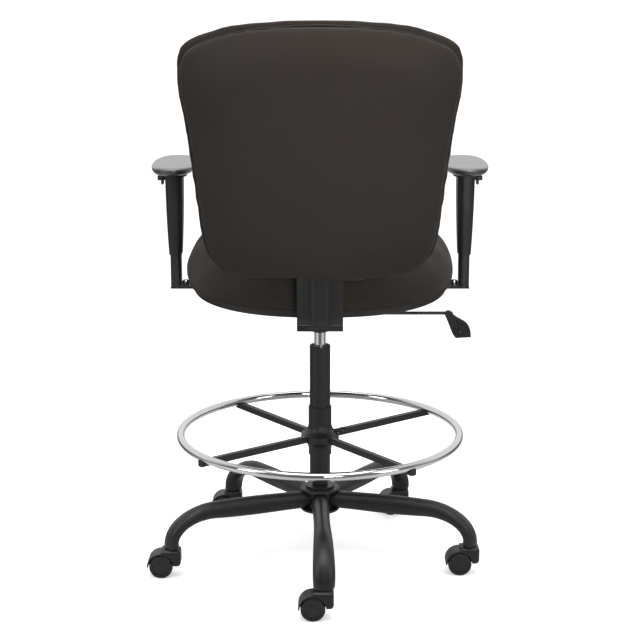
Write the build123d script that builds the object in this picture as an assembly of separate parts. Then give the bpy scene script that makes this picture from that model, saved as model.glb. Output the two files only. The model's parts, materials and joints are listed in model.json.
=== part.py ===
from build123d import *
from math import copysign, cos, radians, sin, sqrt, tan
import os

# Drafting chair with a chrome foot ring, built in millimetres. The chair faces -Y, +Z is up and
# the origin is the point of the floor under the column, so +X is the sitter's left.

# ---- Casters -----------------------------------------------------------------------------
wheel_radius = 28.0
wheel_wide = 19.0
wheel_gap = 10.0              # between the two wheels of a caster
wheel_hub_recess = 3.0
axle_radius = 4.0
axle_clearance = 0.05
trail = 25.0                  # stem axis to wheel axis
hood_clearance = 2.0
hood_wall = 3.5
hood_web = 8.0
hood_crown = 7.5              # solid top of the hood, over its wall
hood_nose = wheel_radius - 6.0   # stem axis to the front of the hood
hood_top_z = 2 * wheel_radius + hood_clearance + hood_wall + hood_crown
stem_radius = 5.5
stem_clearance = 0.05
stem_bury = 17.0              # how far the stem reaches down into the hood
stem_reach = 24.0             # how far it reaches up into the leg
stem_low_z = hood_top_z - stem_bury

# ---- Legs and hub ------------------------------------------------------------------------
leg_count = 5
leg_turn = 91.4               # direction of the first leg, degrees from +X
caster_radius = 375.5         # column axis to each caster stem
leg_end_z = hood_top_z + 6.0
stem_high_z = leg_end_z + stem_reach
leg_drop = 77.5               # from the level part's centre to the leg's lower end
leg_height = leg_end_z + leg_drop
leg_bend_long = 112.0         # how far the bend runs along the leg, and how far it drops
leg_bend_tall = 74.5
leg_inner_wide = 40.0
leg_inner_tall = 45.0
leg_outer_wide = 49.0
leg_outer_tall = 34.0
leg_straight = 230.0          # where the round tube starts to flatten
leg_wall = 2.5
socket_rim = 4.5
socket_flange_z = leg_end_z - socket_rim
socket_depth = 22.0
socket_plug = 4.0             # how far the plug fills the leg's end
socket_fit = 0.3
hub_radius = 35.0
hub_below = 28.5              # how far the hub reaches below and above the legs' centre
hub_above = 34.5
hub_bottom_z = leg_height - hub_below
hub_top_z = leg_height + hub_above
hub_plate_radius = 48.0
hub_plate_thick = 6.0

# ---- Column and gas lift ----------------------------------------------------------------
gas_radius = 14.0
tube_radius = 25.0
tube_wall = 2.5
tube_neck_wall = 2.5
tube_neck_radius = gas_radius + tube_neck_wall + 2.5   # swaged lower end that sits in the hub
tube_neck_z = hub_top_z + 14.0
tube_shoulder_z = tube_neck_z + 8.0
tube_top_z = 534.0
tube_floor_z = hub_bottom_z + 3.0
tube_floor_thick = 5.0
guide_length = 95.0
guide_rim = 4.0
gas_wall = 2.2
gas_bottom_z = tube_floor_z + 34.0
gas_top_z = 617.0
gas_cone_length = 45.0
gas_cone_taper = 0.8
gas_cone_radius = gas_radius - gas_cone_taper
gas_clearance = 0.06
rod_radius = 5.0
rod_clearance = 0.05
piston_z = 425.0
piston_thick = 9.0
pin_radius = 4.0
pin_above = 8.0               # how far the release pin stands out of the gas cylinder
seat_travel = 250.0

# ---- Foot ring --------------------------------------------------------------------------
ring_radius = 337.0
ring_tube = 9.8               # radius of the chrome tube
ring_z = 320.0
spoke_turn = 37.5             # direction of the first spoke, degrees from +X
spoke_wide = 16.0
spoke_tip = 11.0              # how far a spoke reaches past the ring's centre line
spoke_saddle = 7.0            # how deep the ring sits in the spokes
collar_wall = 3.0
collar_radius = tube_radius + collar_wall
collar_low_z = 266.0
collar_high_z = 386.0
collar_clearance = 0.08
flange_radius = collar_radius + 18.0
flare_drop = 20.0             # height of the cone under the flange
flare_rise = 24.0             # height of the flare over it
screw_radius = 4.0
screw_head_radius = 8.0

# ---- Tilt mechanism ---------------------------------------------------------------------
box_half = 55.0               # half width of the pressed housing
box_wall = 3.0
box_front_y = -150.0
box_back_y = 36.0
box_bottom_z = 579.0
box_nose_z = 613.0            # underside of the raised floor in front of the axle
box_top_z = 639.0
boss_radius = gas_radius + 5.5
boss_bottom_z = 572.0
axle_y = -75.0
axle_z = 625.0
tilt_axle_radius = 6.0
flange_gap = 3.0              # housing wall to seat plate flange
flange_thick = 3.0
knob_y = -130.0
knob_radius = 28.0
knob_low_z = 555.0
knob_high_z = 595.0
bolt_radius = 4.0
spring_radius = 15.5
spring_wire = 2.5
spring_turns = 5
lever_z = 616.0
lever_radius = 4.0
lever_reach = 305.0           # column axis to the root of the paddle
rocker_x = 50.0               # column axis to the rocker's trunnion
rocker_half = 9.0             # half width of the rocker, along Y
rocker_z = lever_z + 12.0     # height of the rocker's trunnion
trunnion_radius = 3.0
finger_gap = 0.3              # rocker's finger to the release pin
paddle_thick = 10.0

# ---- Seat -------------------------------------------------------------------------------
seat_slope = 4.0              # the front is higher
seat_under_z = 674.0          # underside of the seat at the column axis
seat_half = 302.0
seat_bulge = 12.0             # how far the cushion stands out over the shell
seat_rear_bulge = 5.0
seat_widest_y = -50.0
seat_back_y = 235.0
seat_front_y = -290.0
rear_roundness = 0.87         # 1 is an ellipse, less is squarer
front_roundness = 0.69
shell_thick = 3.0
board_thick = 12.0
cushion_tall = 98.0
plate_half = 95.0
plate_thick = 3.0
plate_front_y = -150.0
plate_back_y = 118.0
seat_bolt_x = 80.0
seat_bolt_front_y = -125.0
seat_bolt_back_y = 95.0
seat_bolt_radius = 3.5

# ---- Back -------------------------------------------------------------------------------
back_lean = 8.5
back_gap = 84.0               # seat shell to the rear face of the back, at its lower edge
back_foot_y = seat_back_y + back_gap
back_foot_z = 748.0
back_tall = 568.5
back_half_low = 259.0
back_half_top = 299.0
cover_thick = 30.0            # rear pad, hollow where the bar runs
cover_inset = 8.0             # how far the rear pad and the board stand in from the cushion
back_board_thick = 10.0
board_inset = 12.0
back_pad_thick = 50.0
bar_half = 51.0               # half width of the wide pressed bar
bar_thick = 5.0
bar_start_y = 46.0
bar_bend = 26.0
bar_top = 44.0                # how far the wide bar reaches up inside the back
rib_half = 21.0               # half width of the raised channel down the middle
rib_thick = 6.0
rib_top = 205.0
bead_radius = 3.0
carrier_low = 60.0
carrier_high = 212.0
slide_clearance = 0.4
cover_skin = 6.0              # rear pad left behind the pocket

# ---- Arms -------------------------------------------------------------------------------
arm_gap = 43.0                # seat shell to the post's centre
arm_x = seat_half + arm_gap
arm_y = -50.0
post_wide = 25.0
post_deep = 50.0
post_wall = 3.0
post_top_z = 875.0
bracket_thick = 6.0
bracket_wide = 50.0
bracket_inner_x = 105.0
arm_bolt_x = 150.0
arm_bolt_outer_x = 230.0
dome_x = arm_x - 22.0
sleeve_low_z = 752.0
sleeve_high_z = 941.0
sleeve_foot_wide = post_wide + 5.0
sleeve_foot_deep = post_deep + 7.0
sleeve_head_wide = post_wide + 16.0
sleeve_head_deep = post_deep + 24.0
sleeve_flange = 5.0
pad_wide = 104.0
pad_long = 270.0
pad_thick = 22.0
pad_back_y = 40.0
button_wide = 26.0
button_tall = 9.0
button_reach = 18.0


def cyl(radius, low, high, x=0.0, y=0.0):
    """Upright cylinder between two heights."""
    return Pos(x, y, low) * Cylinder(radius, high - low, align=(Align.CENTER, Align.CENTER, Align.MIN))


def slab(x0, x1, y0, y1, z0, z1):
    """Box between two corners."""
    return Pos((x0 + x1) / 2, (y0 + y1) / 2, (z0 + z1) / 2) * Box(x1 - x0, y1 - y0, z1 - z0)


def bar_x(radius, x0, x1, y, z):
    """Round bar along X."""
    return Pos((x0 + x1) / 2, y, z) * Rot(0, 90, 0) * Cylinder(radius, x1 - x0)


def bar_y(radius, y0, y1, x, z):
    """Round bar along Y."""
    return Pos(x, (y0 + y1) / 2, z) * Rot(90, 0, 0) * Cylinder(radius, y1 - y0)


def turned(points):
    """Solid turned about Z from a closed list of (radius, height) points."""
    return revolve(Plane.XZ * make_face(Polyline(*points, close=True)), Axis.Z)


def save(name, *solids):
    export_step(solids[0] if len(solids) == 1 else Compound(children=list(solids)), f"parts/{name}.step")


# ---- Base ------------------------------------------------------------------------------

def oval(a, b):
    """Closed oval with half axes a and b, as a smooth curve through twelve points."""
    steps = [radians(30 * step) for step in range(12)]
    return make_face(Spline(*[(a * cos(turn), b * sin(turn)) for turn in steps], periodic=True))


def leg_tube(inset):
    """Solid swept along a leg: level, then bent down, flatter and wider from the bend on."""
    bend_x, low_z = caster_radius - leg_bend_long, leg_height - leg_bend_tall
    handle = 4 / 3 * (sqrt(2) - 1)
    bend = Bezier((bend_x, 0, leg_height), (bend_x + handle * leg_bend_long, 0, leg_height),
                  (caster_radius, 0, low_z + handle * leg_bend_tall), (caster_radius, 0, low_z))
    path = (Line((12, 0, leg_height), (bend_x, 0, leg_height)) + bend
            + Line((caster_radius, 0, low_z), (caster_radius, 0, leg_end_z)))
    narrow = oval(leg_inner_wide / 2 - inset, leg_inner_tall / 2 - inset)
    wide = oval(leg_outer_wide / 2 - inset, leg_outer_tall / 2 - inset)
    across = (0, 1, 0)
    sections = [Plane((12, 0, leg_height), x_dir=across, z_dir=(1, 0, 0)) * narrow,
                Plane((leg_straight / 2, 0, leg_height), x_dir=across, z_dir=(1, 0, 0)) * narrow,
                Plane((leg_straight, 0, leg_height), x_dir=across, z_dir=(1, 0, 0)) * narrow,
                Plane(bend @ 0.5, x_dir=across, z_dir=bend % 0.5) * wide,
                Plane((caster_radius, 0, leg_end_z), x_dir=across, z_dir=(0, 0, -1)) * wide]
    return sweep(sections, path=path, multisection=True)


def leg():
    """One hollow leg along +X, fitted round the hub."""
    tube = leg_tube(0) - leg_tube(leg_wall)
    return tube - cyl(hub_radius, hub_bottom_z - 30, hub_top_z + 30)


def hub():
    """Thick hub tube whose bore takes the swaged end of the column."""
    return cyl(hub_radius, hub_bottom_z, hub_top_z) - cyl(tube_neck_radius, hub_bottom_z - 1, hub_top_z + 1)


def hub_plates():
    """Two welded discs, one over the legs and a dished one under them."""
    top_low = leg_height + leg_inner_tall / 2
    top = cyl(hub_plate_radius, top_low, top_low + hub_plate_thick)
    top = chamfer(top.edges().group_by(Axis.Z)[-1], 2.5) - cyl(hub_radius, top_low - 1, top_low + 20)
    low_high = leg_height - leg_inner_tall / 2
    low = cyl(hub_plate_radius, low_high - hub_plate_thick, low_high)
    low = fillet(low.edges().group_by(Axis.Z)[0], 4.0) - cyl(hub_radius, low_high - 20, low_high + 1)
    return top, low


def socket():
    """Plug with a rim that closes a leg's lower end and holds a caster stem."""
    a, b = leg_outer_wide / 2, leg_outer_tall / 2
    inset = leg_wall + socket_fit
    rim = Pos(0, 0, socket_flange_z) * extrude(oval(a - 2, b - 0.5), leg_end_z - socket_flange_z)
    plug = Pos(0, 0, leg_end_z) * extrude(oval(a - inset, b - inset), socket_plug)
    neck = cyl(stem_radius + 3, leg_end_z, leg_end_z + socket_depth)
    bore = cyl(stem_radius, socket_flange_z - 1, leg_end_z + socket_depth + 1)
    return rim + plug + neck - bore


def caster_stem():
    """Steel stem with a grip head, standing from the hood up into the socket."""
    ring = cyl(stem_radius + 2.2, socket_flange_z - 1.3, socket_flange_z)
    return chamfer(cyl(stem_radius, stem_low_z, stem_high_z).edges(), 1.0) + ring


# ---- Caster ----------------------------------------------------------------------------

def hood():
    """C-shaped hood over the wheel pair, trailing towards +X, with the stem boss in front."""
    wide = 2 * wheel_wide + wheel_gap
    outer = wheel_radius + hood_clearance + hood_wall
    shell = bar_y(outer, -wide / 2, wide / 2, trail, wheel_radius)
    block = slab(-hood_nose, trail, -wide / 2, wide / 2, wheel_radius, hood_top_z)
    block = fillet(block.edges().filter_by(Axis.Y).sort_by(Axis.X)[:2], 9.0)
    cap = slab(trail - 1, trail + outer, -wide / 2 - 1, wide / 2 + 1, wheel_radius + outer, hood_top_z + 1)
    body = shell + block - slab(-200, 200, -200, 200, -200, wheel_radius) - cap
    upward = (Align.CENTER, Align.CENTER, Align.MIN)
    body -= Pos(trail, 0, hood_top_z) * Rot(0, 20, 0) * Box(60, wide + 2, 14, align=upward)
    for side in (-1, 1):
        inner = side * hood_web / 2
        pocket = bar_y(wheel_radius + hood_clearance, *sorted((inner, side * wide)), trail, wheel_radius)
        body -= pocket
    web = bar_y(wheel_radius - 6, -hood_web / 2, hood_web / 2, trail, wheel_radius)
    body += web
    body = fillet(body.edges().filter_by(Axis.Z).sort_by(Axis.X)[:2], 10.0)
    body -= cyl(stem_radius + stem_clearance, stem_low_z - 1, hood_top_z + 1)
    return body - bar_y(axle_radius + axle_clearance, -wide, wide, trail, wheel_radius)


def wheel(side):
    """One wheel with a crowned tread and a shallow dished face."""
    inner = wheel_gap / 2
    outer = inner + wheel_wide
    disc = bar_y(wheel_radius, inner, outer, 0, 0)
    disc = fillet(disc.edges().filter_by(GeomType.CIRCLE), 4.0)
    disc -= bar_y(wheel_radius - 7, outer - wheel_hub_recess, outer + 1, 0, 0)
    disc += bar_y(9, outer - wheel_hub_recess - 1, outer - 1, 0, 0)
    disc -= bar_y(axle_radius, inner - 1, outer - 5, 0, 0)
    turned_side = disc if side > 0 else mirror(disc, Plane.XZ)
    return Pos(trail, 0, wheel_radius) * turned_side


def wheel_axle():
    reach = wheel_gap / 2 + wheel_wide - 5
    return bar_y(axle_radius, -reach, reach, trail, wheel_radius)


# ---- Column ----------------------------------------------------------------------------

def column_tube():
    """Outer tube, swaged down to the neck that is pressed into the hub."""
    inner, neck = tube_radius - tube_wall, tube_neck_radius - tube_neck_wall
    hole = rod_radius + rod_clearance
    return turned([(hole, tube_floor_z), (tube_neck_radius, tube_floor_z), (tube_neck_radius, tube_neck_z),
                   (tube_radius, tube_shoulder_z), (tube_radius, tube_top_z), (inner, tube_top_z),
                   (inner, tube_shoulder_z + 2), (neck, tube_neck_z + 2),
                   (neck, tube_floor_z + tube_floor_thick), (hole, tube_floor_z + tube_floor_thick)])


def guide_bushing():
    """Plastic sleeve that guides the gas cylinder, with a rim on the tube's top."""
    bore, fit = gas_radius + gas_clearance, tube_radius - tube_wall
    return turned([(bore, tube_top_z - guide_length), (fit, tube_top_z - guide_length), (fit, tube_top_z),
                   (tube_radius + 0.8, tube_top_z), (tube_radius - 1, tube_top_z + guide_rim),
                   (bore, tube_top_z + guide_rim)])


def gas_cylinder():
    """Chromed pressure cylinder with the tapered end that wedges in the mechanism."""
    inner, cone_z = gas_radius - gas_wall, gas_top_z - gas_cone_length
    hole, pin_hole = rod_radius + rod_clearance, pin_radius + rod_clearance
    return turned([(hole, gas_bottom_z), (gas_radius, gas_bottom_z), (gas_radius, cone_z),
                   (gas_cone_radius, gas_top_z), (pin_hole, gas_top_z), (pin_hole, gas_top_z - 8),
                   (inner, gas_top_z - 8), (inner, gas_bottom_z + 8), (hole, gas_bottom_z + 8)])


def piston_rod():
    """Rod that stands on the tube's floor, with the piston inside the cylinder."""
    head = gas_radius - gas_wall - gas_clearance
    rod = cyl(rod_radius, tube_floor_z - 7, piston_z + piston_thick)
    rod += cyl(head, piston_z, piston_z + piston_thick)
    clip_z = tube_floor_z - 3
    groove = cyl(rod_radius + 1, clip_z, clip_z + 1.5) - cyl(rod_radius - 1, clip_z - 1, clip_z + 3)
    return rod - groove


def rod_clip():
    """Sprung clip in the groove under the tube's floor."""
    low = tube_floor_z - 3
    ring = cyl(rod_radius + 4, low, low + 1.5) - cyl(rod_radius - 1, low - 1, low + 3)
    return ring - slab(0, 30, -2.5, 2.5, low - 1, low + 3)


def thrust_bearing():
    """Two races and a ball cage round the rod, on the tube's floor."""
    low = tube_floor_z + tube_floor_thick
    bore = rod_radius + 0.6
    ring = cyl(13, low, low + 8) - cyl(bore, low - 1, low + 9)
    return ring - (cyl(14, low + 2.6, low + 5.4) - cyl(10.5, low + 2, low + 6))


def release_pin():
    return chamfer(cyl(pin_radius, gas_top_z - 6, gas_top_z + pin_above).edges(), 0.6)


# ---- Foot ring -------------------------------------------------------------------------

def foot_ring():
    return Pos(0, 0, ring_z) * Torus(ring_radius, ring_tube)


def spoke(turn):
    """Square steel spoke from the collar's flange to just past the ring, which is let into it."""
    top = ring_z - ring_tube + spoke_saddle
    half = spoke_wide / 2
    bar = slab(flange_radius - 4, ring_radius + spoke_tip, -half, half, top - spoke_wide, top)
    bar = fillet(bar.edges().filter_by(Axis.X), 2.5)
    bar -= cyl(flange_radius, top - 40, top + 10)
    bar -= Pos(0, 0, ring_z) * Torus(ring_radius, ring_tube)
    return Rot(0, 0, turn) * bar


def ring_collar():
    """Sleeve that slides on the column, with the flared flange that carries the spokes."""
    bore = tube_radius + collar_clearance
    top = ring_z - ring_tube + spoke_saddle
    low = top - spoke_wide
    under, over = (collar_radius, low - flare_drop), (collar_radius, top + flare_rise)
    profile = (Polyline((bore, collar_low_z), (collar_radius, collar_low_z), under)
               + RadiusArc(under, (flange_radius, low), flare_drop + 4)
               + Line((flange_radius, low), (flange_radius, top))
               + RadiusArc((flange_radius, top), over, flare_rise + 4)
               + Polyline(over, (collar_radius, collar_high_z), (bore, collar_high_z),
                          (bore, collar_low_z)))
    body = revolve(Plane.XZ * make_face(profile), Axis.Z)
    return body - bar_x(screw_radius + 0.05, -60, 0, 0, ring_z + 4)


def ring_screw():
    """Clamping screw that bears on the column between two spokes."""
    z = ring_z + 4
    shank = bar_x(screw_radius, -58, -tube_radius - 0.3, 0, z)
    return shank + bar_x(screw_head_radius, -62, -50, 0, z)


# ---- Mechanism -------------------------------------------------------------------------

def housing():
    """Pressed box on the gas cylinder: side walls, stepped floor, cone boss and rocker ears."""
    side = Plane.YZ * make_face(Polyline(
        (box_front_y, box_nose_z), (axle_y - 22, box_nose_z), (axle_y - 10, box_bottom_z),
        (box_back_y, box_bottom_z), (box_back_y, box_top_z - 18), (box_back_y - 40, box_top_z),
        (box_front_y + 20, box_top_z), (box_front_y, box_top_z - 12), close=True))
    block = extrude(side, box_half, both=True)
    block = fillet(block.edges().filter_by(Axis.Z), 6.0)
    hollow_low = box_half - box_wall
    hollow = slab(-hollow_low, hollow_low, axle_y - 10 + box_wall, box_back_y - box_wall,
                  box_bottom_z + box_wall, box_top_z + 9)
    nose = slab(-hollow_low, hollow_low, box_front_y + box_wall, axle_y, box_nose_z + box_wall, box_top_z + 9)
    body = block - hollow - nose
    body += cyl(boss_radius, boss_bottom_z, gas_top_z)
    body -= turned([(0, boss_bottom_z), (gas_radius, boss_bottom_z), (gas_cone_radius, gas_top_z),
                    (0, gas_top_z)])
    window = rocker_half + 2
    body -= slab(-box_half - 9, -box_half + 9, -window, window, lever_z - 14, box_top_z + 9)
    for side_y in (-1, 1):
        ear_y = sorted((side_y * (window + 0.2), side_y * (window + 3.2)))
        body += slab(-box_half + box_wall, -rocker_x + 8, *ear_y, lever_z - 12, rocker_z + 7)
    body -= bar_y(trunnion_radius + 0.05, -40, 40, -rocker_x, rocker_z)
    body -= bar_x(tilt_axle_radius, -90, 90, axle_y, axle_z)
    return body - cyl(bolt_radius + 8, box_nose_z - 9, box_nose_z + 9, 0, knob_y)


def lever_rocker():
    """Socket for the lever rod, hung on two trunnions, with a finger over the release pin."""
    low, high = lever_z - 8, rocker_z + 6
    block = slab(-rocker_x - 42, -rocker_x + 6, -rocker_half, rocker_half, low, high)
    block = fillet(block.edges().filter_by(Axis.X), 3.0)
    finger_low = gas_top_z + pin_above + finger_gap
    finger = slab(-rocker_x + 3, 5, -5, 5, finger_low, high)
    trunnion = bar_y(trunnion_radius, -rocker_half - 4.6, rocker_half + 4.6, -rocker_x, rocker_z)
    bore = bar_x(lever_radius + 0.05, -rocker_x - 60, -rocker_x + 2, 0, lever_z)
    return block + finger + trunnion - bore


def lever_rod():
    """Steel rod from the rocker to the paddle."""
    return chamfer(bar_x(lever_radius, -lever_reach - 12, -rocker_x + 1, 0, lever_z).edges(), 0.5)


def lever_paddle():
    """Drooping paddle with an oval finger dimple, moulded on the rod's end."""
    x, z = -lever_reach, lever_z
    outline = (Spline((x + 7, z - 5), (x + 2, z - 16), (x - 6, z - 36), (x - 15, z - 55), (x - 20, z - 61))
               + Line((x - 20, z - 61), (x - 56, z - 59))
               + Spline((x - 56, z - 59), (x - 54, z - 40), (x - 48, z - 27), (x - 22, z - 9), (x - 7, z + 5))
               + ThreePointArc((x - 7, z + 5), (x + 4, z + 5), (x + 7, z - 5)))
    blade = extrude(Plane.XZ * make_face(outline), paddle_thick / 2, both=True)
    blade = fillet(blade.edges().group_by(Axis.Y)[0] + blade.edges().group_by(Axis.Y)[-1], 2.0)
    for side in (-1, 1):
        blade -= Pos(x - 32, side * (paddle_thick / 2 + 6.5), z - 42) * Rot(0, -25, 0) * Rot(90, 0, 0) * \
            scale(Sphere(9), (0.62, 1.3, 1))
    blade -= bar_x(lever_radius, x - 12, x + 30, 0, z)
    return blade


def seat_frame_at():
    """Frame of the seat: its origin is on the underside, over the column."""
    return Pos(0, 0, seat_under_z) * Rot(-seat_slope, 0, 0)


def seat_plate():
    """Top plate under the seat, with the two flanges that ride on the tilt axle."""
    plate = slab(-plate_half, plate_half, plate_front_y, plate_back_y, -plate_thick, 0)
    plate = fillet(plate.edges().filter_by(Axis.Z), 12.0)
    plate = seat_frame_at() * plate
    for side in (-1, 1):
        x0 = side * (box_half + flange_gap)
        x1 = x0 + side * flange_thick
        ear = slab(*sorted((x0, x1)), axle_y - 30, axle_y + 30, axle_z - 14, seat_under_z + 20)
        ear = fillet(ear.edges().filter_by(Axis.X).group_by(Axis.Z)[0], 12.0)
        plate += ear - seat_frame_at() * slab(-200, 200, -300, 300, -plate_thick / 2, 60)
    plate -= bar_x(tilt_axle_radius + axle_clearance, -90, 90, axle_y, axle_z)
    for x, y in seat_bolt_places():
        plate -= seat_frame_at() * cyl(seat_bolt_radius, -10, 10, x, y)
    return plate


def tilt_axle():
    reach = box_half + flange_gap + flange_thick + 5
    return chamfer(bar_x(tilt_axle_radius, -reach, reach, axle_y, axle_z).edges(), 1.0)


def tension_bolt():
    """Bolt that hangs from the seat plate through the spring and the knob."""
    under = seat_under_z - knob_y * tan(radians(seat_slope)) - plate_thick / cos(radians(seat_slope))
    bolt = cyl(bolt_radius, knob_low_z + 4, under + 4, 0, knob_y)
    bolt += cyl(9, under - 6, under + 4, 0, knob_y)
    return bolt - seat_frame_at() * slab(-200, 200, -300, 300, -plate_thick, 60)


def tension_knob():
    """Deep hand knob that holds the spring, with grip flutes round its rim."""
    at = Pos(0, knob_y, 0)
    knob = at * chamfer(cyl(knob_radius, knob_low_z, knob_high_z).edges().group_by(Axis.Z)[0], 3.0)
    knob -= cyl(spring_radius + spring_wire + 3, knob_low_z + 8, knob_high_z + 1, 0, knob_y)
    for step in range(12):
        turn = radians(30 * step)
        knob -= cyl(3.2, knob_low_z - 1, knob_high_z + 1, (knob_radius + 1.6) * cos(turn),
                    knob_y + (knob_radius + 1.6) * sin(turn))
    return knob - cyl(bolt_radius + 0.05, knob_low_z - 1, knob_high_z, 0, knob_y)


def tension_spring():
    """Coil spring between the knob's floor and the housing's nose."""
    low, high = knob_low_z + 8 + spring_wire, box_nose_z - spring_wire
    helix = Helix((high - low) / spring_turns, high - low, spring_radius)
    wire = Plane(helix @ 0, z_dir=helix % 0) * Circle(spring_wire)
    return Pos(0, knob_y, low) * sweep(wire, path=helix)


# ---- Seat ------------------------------------------------------------------------------

def seat_outline(half, back_y, front_y):
    """Plan of the seat: rounded rear corners and a squarer front."""
    points = []
    for step in range(24):
        turn = radians(15 * step)
        c, d = cos(turn), sin(turn)
        reach = back_y - seat_widest_y if d >= 0 else seat_widest_y - front_y
        power = rear_roundness if d >= 0 else front_roundness
        points.append((copysign(half * abs(c) ** power, c),
                       seat_widest_y + copysign(reach * abs(d) ** power, d)))
    return make_face(Spline(*points, periodic=True))


def seat_layer(inset, low, tall):
    """Flat layer of the seat, set in from the shell's edge."""
    plan = seat_outline(seat_half - inset, seat_back_y - inset, seat_front_y + inset)
    return extrude(Pos(0, 0, low) * plan, tall)


def seat_shell():
    """Moulded under-cover with an upturned rim round the board."""
    outer = seat_layer(0, 0, shell_thick + board_thick)
    outer = fillet(outer.edges().group_by(Axis.Z)[0], 4.0)
    shell = outer - seat_layer(shell_thick + 1, shell_thick, 40)
    for x, y in seat_bolt_places() + arm_bolt_places():
        shell -= cyl(seat_bolt_radius, -10, 30, x, y)
    return seat_frame_at() * shell


def seat_board():
    """Plywood board that carries the foam and takes the bolts."""
    board = seat_layer(shell_thick + 1.5, shell_thick, board_thick)
    for x, y in seat_bolt_places() + arm_bolt_places():
        board -= cyl(seat_bolt_radius, -10, shell_thick + board_thick - 3, x, y)
    return seat_frame_at() * board


def seat_cushion():
    """Foam seat pad, bulging a little over the shell and rounded on top."""
    low = shell_thick + board_thick
    half = seat_half + seat_bulge
    plan = seat_outline(half, seat_back_y + seat_rear_bulge, seat_front_y - seat_bulge)
    pad = extrude(Pos(0, 0, low) * plan, cushion_tall)
    pad = fillet(pad.edges().group_by(Axis.Z)[-1], 36.0)
    pad = fillet(pad.edges().group_by(Axis.Z)[0], 12.0)
    return seat_frame_at() * pad


def seat_bolt_places():
    return [(sx * seat_bolt_x, y) for sx in (-1, 1) for y in (seat_bolt_front_y, seat_bolt_back_y)]


def arm_bolt_places():
    return [(sx * x, arm_y) for sx in (-1, 1) for x in (arm_bolt_x, arm_bolt_outer_x)]


def bolt_up(x, y, face):
    """Screw driven up into the seat board from a face below it."""
    shank = cyl(seat_bolt_radius, face, shell_thick + board_thick - 3, x, y)
    return seat_frame_at() * (shank + cyl(6.5, face - 4.5, face, x, y))


def seat_bolts():
    plate = [bolt_up(x, y, -plate_thick) for x, y in seat_bolt_places()]
    return plate + [bolt_up(x, y, -bracket_thick) for x, y in arm_bolt_places()]


# ---- Back ------------------------------------------------------------------------------

def back_at():
    """Frame of the back: X across, Y towards the rear and Z up along the leaning rear face."""
    return Pos(0, back_foot_y, back_foot_z) * Rot(-back_lean, 0, 0)


def back_outline(inset):
    """Front view of the back: wide shoulders, slim waist and rounded corners."""
    low, top = back_half_low - inset, back_half_top - inset
    foot, head = inset, back_tall - inset
    right = [(0.44 * low, foot + 6), (0.79 * low, foot + 21), (0.935 * low, foot + 58), (low, 129),
             (0.6 * low + 0.4 * top, 272), (0.24 * low + 0.76 * top, 375), (top, back_tall - 97),
             (0.955 * top, head - 57), (0.828 * top, head - 33), (0.42 * top, head - 7)]
    left = [(-x, z) for x, z in reversed(right)]
    return make_face(Plane.XZ * Spline(*[(0, foot)] + right + [(0, head)] + left, periodic=True))


def back_layer(inset, near, far):
    """Slab of the back between two depths, measured forward from the rear face."""
    face = Pos(0, -near, 0) * back_outline(inset)
    return extrude(face, far - near, dir=(0, -1, 0))


def back_cover():
    """Upholstered rear pad, hollow where the bar and its carrier slide."""
    pad = back_layer(cover_inset, 0, cover_thick)
    pad = fillet(pad.edges().group_by(Axis.Y)[-1], 14.0)
    wide = bar_half + 2
    pad -= slab(-wide, wide, -cover_thick - 1, -cover_skin, -60, bar_top + 6)
    narrow = rib_half + 12
    pad -= slab(-narrow, narrow, -cover_thick - 1, -cover_skin, -60, carrier_high + 2)
    return back_at() * pad


def back_board():
    """Moulded board between the two pads."""
    return back_at() * back_layer(board_inset, cover_thick, cover_thick + back_board_thick)


def back_cushion():
    """Foam pad that faces the sitter."""
    near = cover_thick + back_board_thick
    pad = back_layer(0, near, near + back_pad_thick)
    return back_at() * fillet(pad.edges().group_by(Axis.Y)[0], 36.0)


def rib_rear():
    """Depth of the raised channel's rear face inside the back."""
    return cover_skin + bead_radius + 1


def ratchet_carrier():
    """Channel on the board that slides up the bar and holds the back at its height."""
    wide = rib_half + 10
    rear, front = rib_rear() - slide_clearance - 2, cover_thick
    block = slab(-wide, wide, -front, -rear, carrier_low, carrier_high)
    groove = rib_half + slide_clearance
    block -= slab(-groove, groove, -rib_rear() - rib_thick - slide_clearance, -rib_rear() + slide_clearance,
                  carrier_low - 1, carrier_high + 1)
    for step in range(5):
        z = carrier_low + 30 + 22 * step
        block -= slab(-8, 8, -front - 1, -rib_rear() - rib_thick - 2, z, z + 9)
    return back_at() * block


def bar_strip(half, near, thick, top):
    """Strip bent like a J, from under the seat plate up into the back.

    near is how far its rear face stands in front of the back's rear face.
    """
    below = plate_thick + (rib_rear() + rib_thick + bar_thick - near)
    start = seat_frame_at() * Pos(0, bar_start_y, -below + thick / 2)
    level = seat_frame_at() * Pos(0, back_foot_y + 100, -below + thick / 2)
    head = back_at() * Pos(0, -near - thick / 2, top)
    foot = back_at() * Pos(0, -near - thick / 2, -200)
    a, b, c, d = (place.position for place in (start, level, head, foot))
    corner = crossing(a, b, c, d)
    radius = bar_bend + (rib_rear() + rib_thick + bar_thick) - near - thick / 2
    path = FilletPolyline(a, corner, c, radius=radius)
    section = Plane(a, x_dir=(1, 0, 0), z_dir=b - a) * Rectangle(2 * half, thick)
    return sweep(section, path=path)


def crossing(a, b, c, d):
    """Where line a-b meets line c-d in the YZ plane."""
    u, v, w = b - a, d - c, c - a
    t = (w.Y * v.Z - w.Z * v.Y) / (u.Y * v.Z - u.Z * v.Y)
    return a + u * t


def back_bar():
    """Wide pressed bar that carries the back."""
    return bar_strip(bar_half, rib_rear() + rib_thick, bar_thick, bar_top)


def bar_rib():
    """Raised channel on the bar's rear face, with two pressed beads."""
    rib = bar_strip(rib_half, rib_rear(), rib_thick, rib_top)
    for side in (-1, 1):
        bead = cyl(bead_radius, -90, 40, side * (rib_half - 6), -rib_rear())
        rib += back_at() * bead
    return rib


# ---- Arms ------------------------------------------------------------------------------

def oblong(wide, deep):
    return RectangleRounded(wide, deep, wide * 0.42)


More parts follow.
